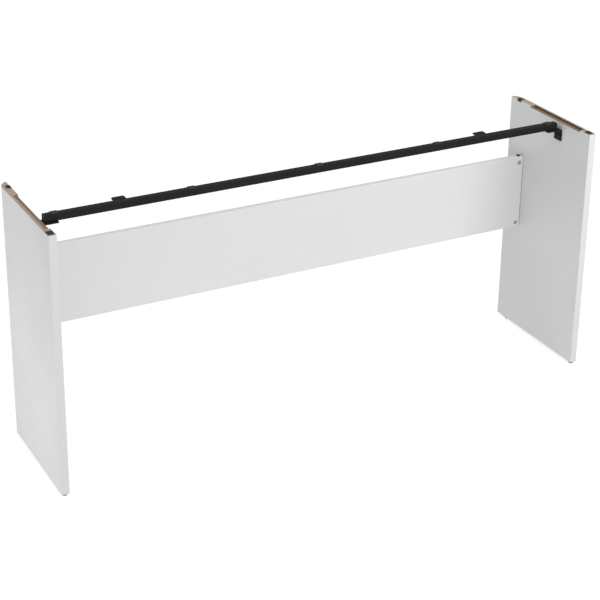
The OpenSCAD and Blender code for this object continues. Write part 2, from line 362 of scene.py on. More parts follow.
class DustFilm(SharedEffect):
    """Dust that settles on what faces up, thicker in some places."""

    label = "dust_film"
    takes = {"Place": VECTOR_IN, "Scale": ("NodeSocketFloat", 60.0), "Amount": ("NodeSocketFloat", 0.2)}
    gives = {"Mask": "NodeSocketFloat"}

    @classmethod
    def draw(cls, pen: NodePen, source: Mapping[str, Socket]) -> dict[str, Socket]:
        """Multiplies the upward part of the normal by a noise. See SharedEffect.draw."""
        upward = pen.parts(pen.node("ShaderNodeNewGeometry").outputs["Normal"])[Axis.Z.value]
        facing = pen.remap(upward, (0.35, 0.95), (0.0, 1.0))
        specks = pen.remap(pen.noise(source["Place"], source["Scale"], 6.0, 0.7), (0.3, 0.7), (0.25, 1.0))
        film = pen.maths("MULTIPLY", facing, specks)
        return {"Mask": pen.maths("MULTIPLY", film, source["Amount"], clamp=True)}


class CutBoard(SharedEffect):
    """The bare core of a fibreboard where a saw or a router has cut it.

    Its colour goes from the pale sanded edge to the browner core as the cut goes deeper. Where Scorch is 1
    it takes the Burnt colour: the cutter's scorching along the skins, and painted shade on a rebate's wall.
    """

    label = "cut_board"
    takes = {
        "Place": VECTOR_IN,
        "Depth": ("NodeSocketFloat", 0.0),
        "Scorch": ("NodeSocketFloat", 0.0),
        "Sanded": ("NodeSocketColor", (0.45, 0.36, 0.26, 1.0)),
        "Core": ("NodeSocketColor", (0.24, 0.17, 0.11, 1.0)),
        "Burnt": ("NodeSocketColor", (0.1, 0.06, 0.04, 1.0)),
    }
    gives = {"Colour": "NodeSocketColor", "Height": "NodeSocketFloat"}

    @classmethod
    def draw(cls, pen: NodePen, source: Mapping[str, Socket]) -> dict[str, Socket]:
        """Mixes fibres and chips into the two core colours. See SharedEffect.draw."""
        deep = pen.remap(source["Depth"], (0.0008, 0.0022), (0.0, 1.0))
        bare = pen.blend(deep, source["Sanded"], source["Core"])
        patches = pen.remap(pen.noise(source["Place"], 60.0), (0.25, 0.6), (0.7, 1.0))
        # Painted shade at a rebate's wall comes in with the scorching, in the same mix.
        plain = pen.blend(pen.maths("MULTIPLY", source["Scorch"], patches), bare, source["Burnt"])
        fibres = pen.noise(pen.stretch(source["Place"], (1.0, 0.22, 1.0)), 1500.0, 5.0, 0.65)
        shade = pen.remap(fibres, (0.3, 0.7), (0.72, 1.12))
        chips = pen.node("ShaderNodeTexVoronoi")
        pen.feed(chips.inputs["Vector"], source["Place"])
        chips.inputs["Scale"].default_value = 420.0
        dark_chip = pen.remap(chips.outputs["Distance"], (0.10, 0.22), (0.62, 1.0))
        tone = pen.maths("MULTIPLY", shade, dark_chip)
        grey = pen.node("ShaderNodeCombineColor")
        for socket in list(grey.inputs)[:3]:
            pen.feed(socket, tone)
        return {"Colour": pen.blend(1.0, plain, grey.outputs[0], "MULTIPLY"), "Height": fibres}


# ---- finishes ----


def opaque(colour: Colour) -> tuple[float, float, float, float]:
    """A colour with full alpha, as a colour socket takes it."""
    return (*colour, 1.0)


@dataclass(frozen=True)
class Finish:
    """A surface finish, which makes one material.

    Attributes:
        name: the material's name.
        slot: the record's material slot that it stands for. Not used.
        colour: the main colour.
        other: the colour that the main one drifts towards.
        roughness: the range that the roughness varies in.
        grain: the relief's fineness, in waves to the metre.
        relief: the relief's depth.
        specular: how strongly the bare surface mirrors, where 0.5 is common plastic.
    """

    name: str
    slot: str
    colour: Colour
    other: Colour
    roughness: tuple[float, float] = (0.45, 0.6)
    grain: float = 900.0
    relief: float = 0.02 * MM
    specular: float = 0.5

    def material(self) -> bpy.types.Material:
        """The finish's material, made the first time that it is asked for.

        Returns:
            The material.
        """
        found = bpy.data.materials.get(self.name)
        if found:
            return found
        made = bpy.data.materials.new(self.name)
        made.use_nodes = True
        pen = NodePen(made.node_tree)
        shader = made.node_tree.nodes["Principled BSDF"]
        shader.inputs["Specular IOR Level"].default_value = self.specular
        self.paint(pen, shader.inputs, pen.node("ShaderNodeTexCoord").outputs["Object"])
        return made

    def drift(self, pen: NodePen, place: Socket, scale: float = 6.0) -> Mapping[str, Socket]:
        """Places the colour drift with this finish's two colours."""
        return pen.effect(
            ColourDrift, Place=place, Scale=scale, Colour=opaque(self.colour), Other=opaque(self.other)
        )

    def skin(self, pen: NodePen, place: Socket, tooth: float = 0.4) -> Socket:
        """The height of this finish's fine grain."""
        return pen.effect(FineGrain, Place=place, Scale=self.grain, Tooth=tooth)["Height"]

    def paint(self, pen: NodePen, inputs: Mapping[str, Socket], place: Socket) -> None:
        """Feeds the shader's inputs.

        Args:
            pen: draws in the material.
            inputs: the Principled shader's inputs by name.
            place: the Object coordinates.
        """
        drift = self.drift(pen, place)
        pen.feed(inputs["Base Color"], drift["Colour"])
        pen.feed(inputs["Roughness"], pen.remap(drift["Mask"], (0.0, 1.0), self.roughness))
        pen.feed(inputs["Normal"], pen.bump(self.skin(pen, place), self.relief))


@dataclass(frozen=True)
class CutFaces:
    """Where a laminated board shows its bare core.

    Attributes:
        across: the axis of the board's thickness.
        middle: the board's middle on that axis, measured away from the stand's middle.
        half: half the board's thickness.
        cut_across: the axis that the bare edges face.
        top: the height of the board's top edge.
        milled: how far the milling goes below the top, or 0 where nothing is milled.
        milled_back: how far back the milling goes.
        wall: the rebate's upright wall, measured away from the stand's middle.
        rebate: where the rebate starts and ends along Y.
        skin: the thickness of the laminate.
        scorch_and_shade_reach: how far the scorching along the skins and the painted shade at the rebate's
            wall reach.
        seam_burn: how dark the scorching is along the skins, where the painted wall shade has 1.
        FACING: how squarely a cut edge faces along its axis, where 1 is dead square.
    """

    across: Axis
    middle: float
    half: float
    cut_across: Axis
    top: float
    milled: float = 0.0
    milled_back: float = 0.0
    wall: float = 0.0
    rebate: tuple[float, float] = (0.0, 0.0)
    skin: float = 0.06 * MM
    scorch_and_shade_reach: float = 0.8 * MM
    seam_burn: float = 0.55

    FACING: ClassVar[float] = 0.6

    def off_middle(self, pen: NodePen, at: list[Socket]) -> Socket:
        """How far a place is from the middle of the board's thickness.

        Args:
            pen: draws in the material.
            at: the place's three parts.

        Returns:
            The distance's socket.
        """
        outward = pen.maths("ABSOLUTE", at[self.across.value])
        return pen.maths("ABSOLUTE", pen.maths("SUBTRACT", outward, self.middle))

    def scorch_and_wall_shade(self, pen: NodePen, place: Socket) -> Socket:
        """Darkened core: scorching along the skins, and painted shade on and beside the rebate's wall.

        Args:
            pen: draws in the material.
            place: the Object coordinates.

        Returns:
            A socket that goes from 0 to 1 with the darkening.
        """
        at = pen.parts(place)
        near_skin = (self.half - self.scorch_and_shade_reach, self.half - self.scorch_and_shade_reach / 4)
        seam = pen.remap(self.off_middle(pen, at), near_skin, (0.0, self.seam_burn))
        if not self.milled:
            return seam
        # Painted shade: a dark band on the rebate's wall and on the floor and lip just beside it.
        outward = pen.maths("ABSOLUTE", at[self.across.value])
        from_wall = pen.maths("ABSOLUTE", pen.maths("SUBTRACT", outward, self.wall))
        wall = pen.remap(from_wall, (self.scorch_and_shade_reach / 2, self.scorch_and_shade_reach), (1.0, 0.0))
        behind = pen.maths("GREATER_THAN", at[Axis.Y.value], self.rebate[0])
        ahead = pen.maths("LESS_THAN", at[Axis.Y.value], self.rebate[1])
        in_rebate = pen.maths("MULTIPLY", behind, ahead)
        return pen.maths("MAXIMUM", seam, pen.maths("MULTIPLY", wall, in_rebate))

    def mask(self, pen: NodePen, place: Socket) -> Socket:
        """Where the core shows.

        Args:
            pen: draws in the material.
            place: the Object coordinates.

        Returns:
            A socket that is 1 on bare board and 0 on laminate.
        """
        at = pen.parts(place)
        facing = pen.parts(pen.node("ShaderNodeNewGeometry").outputs["Normal"])
        inside = pen.maths("LESS_THAN", self.off_middle(pen, at), self.half - self.skin)
        turned = pen.maths("ABSOLUTE", facing[self.cut_across.value])
        cut = pen.maths("GREATER_THAN", turned, self.FACING)
        if self.milled:
            high = pen.maths("GREATER_THAN", at[Axis.Z.value], self.top - self.milled)
            ahead = pen.maths("LESS_THAN", at[Axis.Y.value], self.milled_back)
            cut = pen.maths("MAXIMUM", cut, pen.maths("MULTIPLY", high, ahead))
        return pen.maths("MULTIPLY", inside, cut)


@dataclass(frozen=True)
class LaminateFinish(Finish):
    """White melamine on fibreboard: a fine pebble on the faces, and the bare core on cut edges.

    Attributes:
        cut: where the core shows.
        sanded: the core's colour at the very edge.
        core: its colour deeper in.
        burnt_and_shade: its colour where the cutter has scorched it, and the painted shade at the rebate's
            wall.
        RUBBED: how much of the white is left on a rubbed edge.
        MATT: how much rougher the core is than the laminate.
        FIBRES: the depth of the core's fibres.
    """

    cut: CutFaces | None = None
    sanded: Colour = (0.400, 0.325, 0.262)
    core: Colour = (0.240, 0.165, 0.105)
    burnt_and_shade: Colour = (0.115, 0.068, 0.040)

    RUBBED: ClassVar[float] = 0.82
    MATT: ClassVar[float] = 0.4
    FIBRES: ClassVar[float] = 0.25 * MM

    def paint(self, pen: NodePen, inputs: Mapping[str, Socket], place: Socket) -> None:
        """Lays laminate and bare core side by side. See Finish.paint."""
        drift = self.drift(pen, place, scale=3.0)
        mask = self.cut.mask(pen, place)
        depth = pen.maths("SUBTRACT", self.cut.top, pen.parts(place)[Axis.Z.value])
        # The darkening mask carries the painted shade at the rebate's wall along with the scorching.
        board = pen.effect(
            CutBoard, Place=place, Depth=depth, Scorch=self.cut.scorch_and_wall_shade(pen, place),
            Sanded=opaque(self.sanded), Core=opaque(self.core), Burnt=opaque(self.burnt_and_shade),
        )
        rubbed = pen.effect(EdgeWear, Place=place, Reach=0.5 * MM, Scale=90.0, Amount=0.35)["Mask"]
        greyed = tuple(self.RUBBED * part for part in self.colour)
        white = pen.blend(rubbed, drift["Colour"], opaque(greyed))
        pen.feed(inputs["Base Color"], pen.blend(mask, white, board["Colour"]))
        sheen = pen.remap(drift["Mask"], (0.0, 1.0), self.roughness)
        matt = pen.maths("MULTIPLY", mask, self.MATT)
        pen.feed(inputs["Roughness"], pen.maths("ADD", sheen, matt, clamp=True))
        pebble = pen.bump(self.skin(pen, place, tooth=0.25), self.relief)
        fibrous = pen.maths("MULTIPLY", board["Height"], mask)
        pen.feed(inputs["Normal"], pen.bump(fibrous, self.FIBRES, pebble))


@dataclass(frozen=True)
class StripFinish(Finish):
    """Extruded plastic edge strip: satin, with faint lines along its length.

    Attributes:
        along: the axis that the strip runs along.
    """

    along: Axis = Axis.Z

    def paint(self, pen: NodePen, inputs: Mapping[str, Socket], place: Socket) -> None:
        """Draws the extrusion lines. See Finish.paint."""
        drift = self.drift(pen, place, scale=4.0)
        pull = [1.0, 1.0, 1.0]
        pull[self.along.value] = 0.01
        lines = pen.noise(pen.stretch(place, tuple(pull)), self.grain, 2.0)
        pen.feed(inputs["Base Color"], drift["Colour"])
        pen.feed(inputs["Roughness"], pen.remap(lines, (0.3, 0.7), self.roughness))
        relief = pen.maths("ADD", lines, pen.maths("MULTIPLY", self.skin(pen, place), 0.3))
        pen.feed(inputs["Normal"], pen.bump(relief, self.relief))


@dataclass(frozen=True)
class CoatFinish(Finish):
    """A dark coat or moulding, which wears paler along its edges and holds a little dust.

    Attributes:
        worn: the colour of the worn edges.
        wear: how much of the edges is worn.
        dust: how much dust lies on what faces up.
        metal: how metallic the surface is.
    """

    worn: Colour = (0.16, 0.16, 0.16)
    wear: float = 0.3
    dust: float = 0.05
    metal: float = 0.0

    DUST: ClassVar[Colour] = (0.42, 0.40, 0.37)

    def paint(self, pen: NodePen, inputs: Mapping[str, Socket], place: Socket) -> None:
        """Lays wear and dust over the coat. See Finish.paint."""
        drift = self.drift(pen, place, scale=12.0)
        rubbed = pen.effect(EdgeWear, Place=place, Reach=0.6 * MM, Scale=260.0, Amount=self.wear)["Mask"]
        film = pen.effect(DustFilm, Place=place, Scale=70.0, Amount=self.dust)["Mask"]
        coat = pen.blend(rubbed, drift["Colour"], opaque(self.worn))
        pen.feed(inputs["Base Color"], pen.blend(film, coat, opaque(self.DUST)))
        grain = self.skin(pen, place, tooth=0.6)
        pen.feed(inputs["Roughness"], pen.remap(grain, (0.5, 0.95), self.roughness))
        inputs["Metallic"].default_value = self.metal
        pen.feed(inputs["Normal"], pen.bump(grain, self.relief))


@dataclass(frozen=True)
class PlateFinish(Finish):
    """Plated metal, with cloudy patches and fine rubbed lines.

    Attributes:
        rub: how far the rubbed lines are drawn out along each axis.
    """

    rub: tuple[float, float, float] = (1.0, 1.0, 0.12)

    def paint(self, pen: NodePen, inputs: Mapping[str, Socket], place: Socket) -> None:
        """Varies the plating's tone and gloss. See Finish.paint."""
        drift = self.drift(pen, place, scale=150.0)
        lines = pen.noise(pen.stretch(place, self.rub), self.grain, 4.0)
        both = pen.maths("ADD", drift["Mask"], lines)
        cloud = pen.maths("MULTIPLY", both, 0.5)
        pen.feed(inputs["Base Color"], drift["Colour"])
        pen.feed(inputs["Roughness"], pen.remap(cloud, (0.2, 0.8), self.roughness))
        inputs["Metallic"].default_value = 1.0
        pen.feed(inputs["Normal"], pen.bump(lines, self.relief))


@dataclass(frozen=True)
class WoodFinish(Finish):
    """Turned hardwood, with its grain along X."""

    def paint(self, pen: NodePen, inputs: Mapping[str, Socket], place: Socket) -> None:
        """Draws long pores in the wood. See Finish.paint."""
        drawn = pen.stretch(place, (0.06, 1.0, 1.0))
        pores = pen.noise(drawn, self.grain, 5.0, 0.65)
        tone = pen.remap(pores, (0.35, 0.65), (0.0, 1.0))
        pen.feed(inputs["Base Color"], pen.blend(tone, opaque(self.colour), opaque(self.other)))
        pen.feed(inputs["Roughness"], pen.remap(pores, (0.3, 0.7), self.roughness))
        pen.feed(inputs["Normal"], pen.bump(pores, self.relief))


def panel_cut() -> CutFaces:
    """The bare core of the side panels: top and bottom edges, and what is milled into the top."""
    low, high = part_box(Side.RIGHT.node("side_panel"))
    rear_bumper_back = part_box(Side.RIGHT.node("rear_bumper"))[1].y
    openings = frame["record"]["physics"]["openings"]
    near, far = next(space["box_m"] for space in openings if space["name"] == "right_rebate")
    return CutFaces(
        across=Axis.X, middle=(low.x + high.x) / 2, half=(high.x - low.x) / 2, cut_across=Axis.Z,
        top=high.z, milled=5.5 * MM, milled_back=rear_bumper_back, wall=far[0],
        rebate=(near[1], far[1]),
    )


def board_cut() -> CutFaces:
    """The bare core of the back board: its two ends."""
    low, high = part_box("back_board")
    return CutFaces(
        across=Axis.Y, middle=(low.y + high.y) / 2, half=(high.y - low.y) / 2, cut_across=Axis.X,
        top=high.z,
    )


WHITE: Colour = (0.592, 0.601, 0.595)
WHITE_SHADE: Colour = (0.576, 0.585, 0.580)
STRIP_WHITE: Colour = (0.538, 0.543, 0.538)
STRIP_SHADE: Colour = (0.522, 0.528, 0.523)
# Lighter strip white for the lying strips: painted light for their top faces, lit from above.
PAINTED_LIT_STRIP_WHITE: Colour = (0.66, 0.665, 0.66)
PAINTED_LIT_STRIP_SHADE: Colour = (0.64, 0.645, 0.64)
PANEL = LaminateFinish(
    "panel_laminate", "white_laminate", WHITE, WHITE_SHADE, (0.42, 0.52), 1400.0, 0.03 * MM,
    cut=panel_cut(),
)
BOARD = LaminateFinish(
    "board_laminate", "white_laminate", WHITE, WHITE_SHADE, (0.42, 0.52), 1400.0, 0.03 * MM,
    cut=board_cut(),
)
UPRIGHT_STRIP = StripFinish(
    "upright_edge_strip", "white_edge_strip", STRIP_WHITE, STRIP_SHADE, (0.28, 0.42), 2600.0,
    0.012 * MM, along=Axis.Z,
)
# Painted light: the lying strips take the lighter strip white.
PAINTED_LIT_LYING_STRIP = StripFinish(
    "painted_lit_lying_edge_strip", "white_edge_strip", PAINTED_LIT_STRIP_WHITE, PAINTED_LIT_STRIP_SHADE, (0.28, 0.42), 2600.0,
    0.012 * MM, along=Axis.X,
)
POWDER_COAT = CoatFinish(
    "black_powder_coat", "black_steel", (0.0045, 0.0045, 0.0048), (0.006, 0.006, 0.0063), (0.42, 0.6),
    2400.0, 0.04 * MM, 0.16, worn=(0.05, 0.05, 0.052), wear=0.3, dust=0.01,
)
BLACK_OXIDE = CoatFinish(
    "black_oxide", "black_screw", (0.010, 0.010, 0.011), (0.014, 0.013, 0.013), (0.3, 0.45), 1800.0,
    0.01 * MM, 0.3, worn=(0.20, 0.19, 0.18), wear=0.4, dust=0.01, metal=0.3,
)
RUBBER = CoatFinish(
    "black_rubber", "black_rubber", (0.005, 0.005, 0.005), (0.008, 0.008, 0.008), (0.7, 0.9), 1500.0,
    0.04 * MM, 0.16, worn=(0.03, 0.03, 0.03), wear=0.2, dust=0.015,
)
PLUG_PLASTIC = CoatFinish(
    "black_moulded_plastic", "black_plastic", (0.005, 0.005, 0.005), (0.007, 0.007, 0.007), (0.35, 0.5),
    2200.0, 0.02 * MM, 0.2, worn=(0.03, 0.03, 0.03), wear=0.2, dust=0.01,
)
CAP_PLASTIC = CoatFinish(
    "glossy_cap_plastic", "black_plastic", (0.003, 0.003, 0.003), (0.005, 0.005, 0.005), (0.12, 0.2),
    900.0, 0.004 * MM, 0.25, worn=(0.02, 0.02, 0.02), wear=0.1, dust=0.005,
)
ZINC = PlateFinish(
    "zinc_plating", "zinc_plate", (0.62, 0.62, 0.60), (0.50, 0.51, 0.52), (0.3, 0.5), 3000.0, 0.01 * MM
)
NICKEL = PlateFinish(
    "nickel_plating", "nickel_plate", (0.46, 0.455, 0.44), (0.40, 0.395, 0.385), (0.1, 0.24), 2600.0,
    0.004 * MM,
)
BEECH = WoodFinish(
    "turned_beech", "beech", (0.60, 0.43, 0.26), (0.47, 0.31, 0.17), (0.5, 0.7), 2600.0, 0.03 * MM
)


# ---- shaping ----


class Workpiece:
    """A mesh that is shaped with bmesh operators and then handed over as a finished piece.

    Attributes:
        mesh: the mesh being shaped.
        MERGE: points nearer than this become one.
        FLAT_BELOW: faces that meet at less than this angle lie in one plane.
        SMOOTH_BELOW: below this angle they are parts of one curved surface.
        CORNER: above this angle they meet in a sharp edge.
        BENT_SHARE: how much of a curved face's outline goes on into other curved faces.
    """

    MERGE: ClassVar[float] = 0.001 * MM
    FLAT_BELOW: ClassVar[float] = math.radians(0.5)
    SMOOTH_BELOW: ClassVar[float] = math.radians(13)
    CORNER: ClassVar[float] = math.radians(30)
    BENT_SHARE: ClassVar[float] = 0.05

    def __init__(self, mesh: bmesh.types.BMesh | None = None) -> None:
        """Starts from a mesh, or from nothing.

        Args:
            mesh: a bmesh to go on with.
        """
        self.mesh = mesh or bmesh.new()

    @classmethod
    def from_nodes(cls, *nodes: str) -> "Workpiece":
        """Starts from merged copies of CAD nodes, with their flat faces whole.

        Args:
            *nodes: the nodes' names.

        Returns:
            The workpiece.
        """
        made = cls()
        for node in nodes:
            made.mesh.from_mesh(frame["nodes"][node].data)
        bmesh.ops.remove_doubles(made.mesh, verts=made.mesh.verts, dist=cls.MERGE)
        bmesh.ops.dissolve_limit(
            made.mesh, angle_limit=cls.FLAT_BELOW, verts=made.mesh.verts, edges=made.mesh.edges,
            use_dissolve_boundaries=False,
        )
        return made

    @classmethod
    def spun(cls, outline: Iterable[tuple[float, float]], foot: Vector, steps: int = 48) -> "Workpiece":
        """Turns an outline round an upright axis, as on a lathe.

        Args:
            outline: points as radius and height over the foot. The first and the last have radius 0.
            foot: the place on the axis where the height is 0.
            steps: the number of faces round.

        Returns:
            The workpiece.
        """
        made = cls()
        points = [made.mesh.verts.new(foot + Vector((radius, 0, height))) for radius, height in outline]
        edges = [made.mesh.edges.new(pair) for pair in zip(points, points[1:])]
        bmesh.ops.spin(
            made.mesh, geom=points + edges, cent=foot, axis=(0, 0, 1), angle=math.tau, steps=steps,
            use_merge=True,
        )
        return made.closed()

    def closed(self) -> "Workpiece":
        """Merges doubles and turns the faces outwards."""
        bmesh.ops.remove_doubles(self.mesh, verts=self.mesh.verts, dist=self.MERGE)
        bmesh.ops.recalc_face_normals(self.mesh, faces=self.mesh.faces)
        return self

    def with_piece(self, other: "Workpiece") -> "Workpiece":
        """Adds another workpiece's mesh to this one."""
        spare = bpy.data.meshes.new("spare")
        other.mesh.to_mesh(spare)
        self.mesh.from_mesh(spare)
        bpy.data.meshes.remove(spare)
        return self

    def soften(
        self, width: float, shortest: float = 0.0, where: EdgeTest | None = None, segments: int = 2
    ) -> "Workpiece":
        """Rounds the sharp edges.

        Args:
            width: the width of the rounding.
            shortest: edges shorter than this stay sharp.
            where: a test that an edge has to pass.
            segments: the number of faces across the rounding.

        Returns:
            The same workpiece.
        """
        picked = [
            edge
            for edge in self.mesh.edges
            if edge.is_manifold
            and edge.calc_face_angle(0) > self.CORNER
            and edge.calc_length() >= shortest
            and (where is None or where(edge))
        ]
        bmesh.ops.bevel(
            self.mesh, geom=picked, offset=width, offset_type="OFFSET", segments=segments, profile=0.5,
            affect="EDGES", material=-1, clamp_overlap=True,
        )
        return self

    def sink(self, where: FaceTest, margin: float, depth: float) -> "Workpiece":
        """Sinks the middle of each face that passes a test, and leaves a rim round it.

        Args:
            where: the test.
            margin: the rim's width.
            depth: how far the middle goes in.

        Returns:
            The same workpiece.
        """
        self.mesh.normal_update()
        for face in [face for face in self.mesh.faces if where(face)]:
            inward = -face.normal.copy()
            for share, drop in ((margin, 0.0), (depth, depth)):
                bmesh.ops.inset_individual(self.mesh, faces=[face], thickness=0.0)
                corners = [vert.co.copy() for vert in face.verts]
                middle = Vector([(max(axis) + min(axis)) / 2 for axis in zip(*corners)])
                spans = [max(axis) - min(axis) for axis in zip(*corners)]
                shrink = [1 - 2 * share / span if span > 2 * share else 1.0 for span in spans]
                bmesh.ops.scale(
                    self.mesh, verts=face.verts, vec=shrink, space=Matrix.Translation(-middle)
                )
                bmesh.ops.translate(self.mesh, verts=face.verts, vec=inward * drop)
        return self

    def shade(self) -> "Workpiece":
        """Shades the faces of curved surfaces smooth, and leaves the flat ones flat."""
        for edge in self.mesh.edges:
            edge.smooth = edge.is_manifold and edge.calc_face_angle(0) < self.SMOOTH_BELOW
        for face in self.mesh.faces:
            bent = sum(
                edge.calc_length() for edge in face.edges
                if edge.is_manifold and self.FLAT_BELOW < edge.calc_face_angle(0) < self.SMOOTH_BELOW
            )
            face.smooth = bent > self.BENT_SHARE * sum(edge.calc_length() for edge in face.edges)
        return self

    def hand_over(self, name: str, finish: Finish, replaces: Iterable[str] = ()) -> bpy.types.Object:
        """Makes the finished piece, in its place.

        Args:
            name: the piece's name.
            finish: its finish.
            replaces: the CAD nodes that it stands for.

        Returns:
            The piece's object.
        """
        data = bpy.data.meshes.new(name)
        self.shade().mesh.to_mesh(data)
        self.mesh.free()
        data.materials.append(finish.material())
        piece = bpy.data.objects.new(name, data)
        bpy.context.scene.collection.objects.link(piece)
        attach(piece, BODY)
        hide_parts(*replaces)
        return piece


def quarter(
    centre: tuple[float, float], radius: float, start: float, steps: int = 8
) -> list[tuple[float, float]]:
    """A quarter circle for an outline.

    Args:
        centre: its centre, as radius and height.
        radius: its radius.
        start: the angle that it starts at, in degrees from outwards. It turns upwards.
        steps: its number of steps.

    Returns:
        The points along it.
    """
    angles = (math.radians(start + 90 * step / steps) for step in range(steps + 1))
    return [
        (centre[0] + radius * math.cos(angle), centre[1] + radius * math.sin(angle)) for angle in angles
    ]


def reaches(axis: Axis, value: float, tolerance: float = 0.02 * MM) -> EdgeTest:
    """A test for edges that lie in a plane.

    Args:
        axis: the plane's normal.
        value: the plane's place on that axis.
        tolerance: how far off an edge may be.

    Returns:
        The test.
    """
    return lambda edge: all(abs(vert.co[axis.value] - value) < tolerance for vert in edge.verts)


def faces_at(axis: Axis, value: float, tolerance: float = 0.02 * MM) -> FaceTest:
    """A test for faces that lie in a plane. See reaches for the arguments."""
    return lambda face: all(abs(vert.co[axis.value] - value) < tolerance for vert in face.verts)


class SubAssembly:
    """A group of pieces that goes together on the stand."""

    def build(self) -> list[bpy.types.Object]:
        """Makes the detailed pieces.

        Returns:
            The pieces.
        """
        raise NotImplementedError

    def dress(self) -> list[bpy.types.Object]:
        """Gives a finish to the CAD nodes that stay as they are.

        Returns:
            The dressed nodes.
        """
        return []

    @staticmethod
    def coat(node: str, finish: Finish) -> bpy.types.Object:
        """Gives a CAD node its finish.

        Args:
            node: the node's name.
            finish: its finish.

        Returns:
            The node's object.
        """
        part = frame["nodes"][node]
        part.data.materials.clear()
        part.data.materials.append(finish.material())
        return part


@dataclass
class SidePanel(SubAssembly):
    """A side panel with its front edge strip.

    Attributes:
        side: which end of the stand it is.
        arris: how far the board's corners are broken.
        strip_round: the rounding of the edge strip's front corners.
    """

    side: Side
    arris: float = 0.35 * MM
    strip_round: float = 0.45 * MM

    def build(self) -> list[bpy.types.Object]:
        """Makes the panel and its strip. See SubAssembly.build."""
        panel, strip = self.side.node("side_panel"), self.side.node("front_edge_band")
        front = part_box(strip)[0].y
        board = Workpiece.from_nodes(panel).soften(self.arris, shortest=0.9 * MM)
        band = Workpiece.from_nodes(strip)
        band.soften(self.strip_round, where=reaches(Axis.Y, front), segments=3)
        return [
            board.hand_over(self.side.node("laminated_panel"), PANEL, [panel]),
            band.hand_over(self.side.node("front_strip"), UPRIGHT_STRIP, [strip]),
        ]


@dataclass
class Bumpers(SubAssembly):
    """The rubber blocks that the piano lies on, moulded with a raised rim.

    Attributes:
        edge: the rounding of a block's top corners.
        rim: the width of the rim round the top.
        dish: how far the middle is sunk.
    """

    edge: float = 0.3 * MM
    rim: float = 1.6 * MM
    dish: float = 0.25 * MM

    def moulded(self, node: str, name: str) -> bpy.types.Object:
        """Makes the blocks of one node.

        Args:
            node: the CAD node.
            name: the piece's name.

        Returns:
            The piece.
        """
        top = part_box(node)[1].z
        block = Workpiece.from_nodes(node).soften(self.edge, where=reaches(Axis.Z, top))
        return block.sink(faces_at(Axis.Z, top), self.rim, self.dish).hand_over(name, RUBBER, [node])

    def build(self) -> list[bpy.types.Object]:
        """Makes every bumper. See SubAssembly.build."""
        made = [
            self.moulded(side.node(f"{end}_bumper"), side.node(f"{end}_rubber"))
            for side in Side
            for end in ("front", "rear")
        ]
        return [*made, self.moulded("rail_bumpers", "rail_rubbers")]


@dataclass
class BackBoard(SubAssembly):
    """The back board with the strips on its long edges.

    Attributes:
        arris: how far the board's corners are broken.
        strip_round: the rounding of the strips' outer corners.
    """

    arris: float = 0.3 * MM
    strip_round: float = 0.45 * MM

    def build(self) -> list[bpy.types.Object]:
        """Makes the board and its strips. See SubAssembly.build."""
        board = Workpiece.from_nodes("back_board").soften(self.arris, shortest=0.45 * MM)
        made = [board.hand_over("laminated_back_board", BOARD, ["back_board"])]
        # The lying strips' lighter white is painted light.
        for node, outer in (("board_top_edge_band", 1), ("board_bottom_edge_band", 0)):
            edge = reaches(Axis.Z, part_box(node)[outer].z)
            strip = Workpiece.from_nodes(node).soften(self.strip_round, 10 * MM, edge, 3)
            made.append(strip.hand_over(node.replace("edge_band", "strip"), PAINTED_LIT_LYING_STRIP, [node]))
        return made


@dataclass
class KnockDownFittings(SubAssembly):
    """What pulls the board against the panels, and the caps in its top edge.

    Attributes:
        cam_edge: the rounding of a cam housing's edges.
        cam_radius: the radius of its hole in the board.
        cam_play: how far the housing stands inside the hole's wall.
        stem_radius: the radius of a cap's stem.
        cap_radius: the radius of its head.
        rim: the height of the head's rim.
        rise: the height of the dome over the rim.
        depth: how deep the stem goes.
    """

    cam_edge: float = 0.2 * MM
    cam_radius: float = 5.0 * MM
    cam_play: float = 0.7 * MM
    stem_radius: float = 2.9 * MM
    cap_radius: float = 5.0 * MM
    rim: float = 0.8 * MM
    rise: float = 2.4 * MM
    depth: float = 7.0 * MM

    def cams(self) -> Workpiece:
        """Makes the cam housings, each with a little play in its hole.

        Returns:
            The four housings.
        """
        housings = Workpiece.from_nodes("cam_locks").soften(self.cam_edge, shortest=0.3 * MM)
        low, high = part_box("cam_locks")
        share = 1 - self.cam_play / self.cam_radius
        reach = 1.5 * self.cam_radius
        for x in (low.x + self.cam_radius, high.x - self.cam_radius):
            for z in (low.z + self.cam_radius, high.z - self.cam_radius):
                axis = Vector((x, 0, z))
                own = [
                    vert for vert in housings.mesh.verts
                    if math.hypot(vert.co.x - x, vert.co.z - z) < reach
                ]
                bmesh.ops.scale(
                    housings.mesh, verts=own, vec=(share, 1, share), space=Matrix.Translation(-axis)
                )
        return housings

    def cap(self, foot: Vector) -> Workpiece:
        """Makes one domed cap.

        Args:
            foot: the middle of its head's underside.

        Returns:
            The cap.
        """
        steps = 12
        dome = [
            (self.cap_radius * math.cos(angle), self.rim + self.rise * math.sin(angle))
            for angle in (math.pi / 2 * step / steps for step in range(steps))
        ]
        outline = [
            (0, -self.depth), (self.stem_radius * 0.8, -self.depth), (self.stem_radius, -self.depth * 0.85),
            (self.stem_radius, 0), (self.cap_radius * 0.97, 0), (self.cap_radius, self.rim * 0.2),
            *dome, (0, self.rim + self.rise),
        ]
        return Workpiece.spun(outline, foot)

    def build(self) -> list[bpy.types.Object]:
        """Makes the cam housings and the caps. See SubAssembly.build."""
        low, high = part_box("board_edge_plugs")
        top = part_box("board_top_edge_band")[1].z
        caps = Workpiece()
        for middle in (low.x + self.cap_radius, high.x - self.cap_radius):
            caps.with_piece(self.cap(Vector((middle, (low.y + high.y) / 2, top))))
        return [
            self.cams().hand_over("cam_housings", ZINC, ["cam_locks"]),
            caps.hand_over("domed_edge_caps", CAP_PLASTIC, ["board_edge_plugs"]),
        ]

    def dress(self) -> list[bpy.types.Object]:
        """Finishes the bolts and the dowels. See SubAssembly.dress."""
        return [self.coat("cam_bolts", ZINC), self.coat("alignment_dowels", BEECH)]


